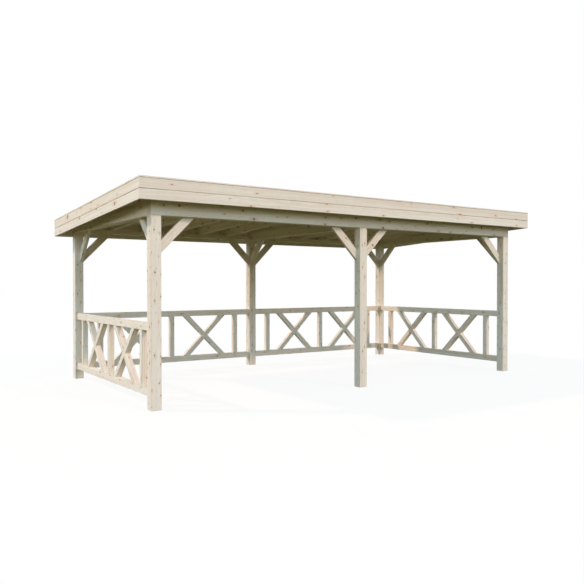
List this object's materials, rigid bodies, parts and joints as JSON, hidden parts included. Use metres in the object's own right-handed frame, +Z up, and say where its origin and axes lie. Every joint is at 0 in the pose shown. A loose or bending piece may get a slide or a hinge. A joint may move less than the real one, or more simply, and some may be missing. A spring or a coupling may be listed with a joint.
{
  "type": "garden pavilion",
  "caption": "Long open timber pavilion on square posts with a flat roof falling to the back, knee braces, and cross-barred balustrades round the ends and back.",
  "frame": {"origin": "middle of the plan at floor level, under the middle of the roof", "axes": "+Z up, +X along the length to the right seen from the open front, +Y to the back, the lower side of the roof"},
  "size_m": [6.42, 3.48, 2.523],
  "materials": {
    "post_timber": "planed, untreated spruce",
    "beam_timber": "planed, untreated spruce",
    "brace_timber": "planed, untreated spruce",
    "rafter_timber": "planed, untreated spruce",
    "roof_board": "planed, untreated spruce",
    "fascia_board": "planed, untreated spruce",
    "trim_strip": "planed, untreated spruce",
    "panel_timber": "planed, untreated spruce",
    "roofing_felt": "mineral-faced sheet"
  },
  "bodies": {
    "root": {"post_front_left": "post_timber", "post_front_mid": "post_timber", "post_front_right": "post_timber", "post_back_left": "post_timber", "post_back_mid": "post_timber", "post_back_right": "post_timber", "beam_front": "beam_timber", "beam_back": "beam_timber", "beam_left": "beam_timber", "beam_mid": "beam_timber", "beam_right": "beam_timber", "braces_front_left": "brace_timber", "braces_front_mid": "brace_timber", "braces_front_right": "brace_timber", "braces_back_left": "brace_timber", "braces_back_mid": "brace_timber", "braces_back_right": "brace_timber", "rafter_left": "rafter_timber", "rafter_mid": "rafter_timber", "rafter_right": "rafter_timber", "rafters_left_bay": "rafter_timber", "rafters_right_bay": "rafter_timber", "roof_boards": "roof_board", "roof_felt": "roofing_felt", "fascia_front": "fascia_board", "fascia_back": "fascia_board", "fascia_left": "fascia_board", "fascia_right": "fascia_board", "trim_front": "trim_strip", "trim_back": "trim_strip", "trim_left": "trim_strip", "trim_right": "trim_strip", "panel_left": "panel_timber", "panel_right": "panel_timber", "panel_back_left": "panel_timber", "panel_back_right": "panel_timber"}
  },
  "joints": []
}
